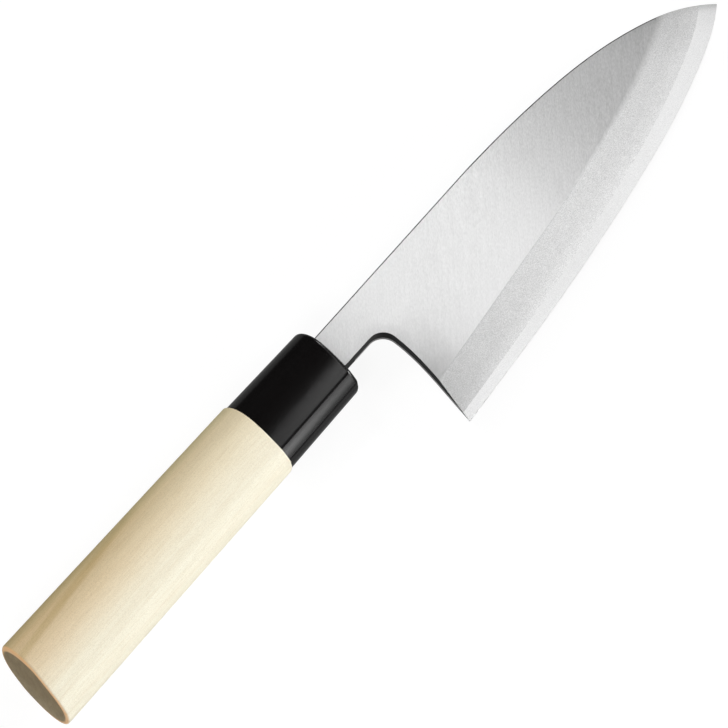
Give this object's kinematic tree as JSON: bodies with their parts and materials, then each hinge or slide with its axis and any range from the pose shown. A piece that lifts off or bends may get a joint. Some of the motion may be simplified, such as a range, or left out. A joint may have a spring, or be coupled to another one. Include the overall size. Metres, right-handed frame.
{
  "type": "deba knife",
  "caption": "Single-bevel fish knife with a broad pointed blade, notched heel, short neck, dark ferrule and pale wooden grip with a soft side ridge.",
  "frame": {"origin": "bottom centre of the whole knife's box as it lies on the side of its hollow back", "axes": "+X from the butt of the handle to the tip, +Y from the cutting edge to the spine, +Z out of the bevelled face"},
  "size_m": [0.293, 0.0554, 0.0231],
  "materials": {
    "soft_steel": "fine satin flat and neck, matt blasted bevel",
    "hard_steel": "fine ground, a little brighter than the cladding",
    "grip_wood": "bare, sanded pale wood with fine straight grain",
    "ferrule_plastic": "black, polished",
    "bedding_resin": "set adhesive",
    "seal_resin": "black filler"
  },
  "bodies": {
    "root": {"blade_cladding": "soft_steel", "hard_steel_back": "hard_steel", "grip": "grip_wood", "ferrule": "ferrule_plastic", "tang_bedding": "bedding_resin", "mouth_seal": "seal_resin"}
  },
  "joints": []
}
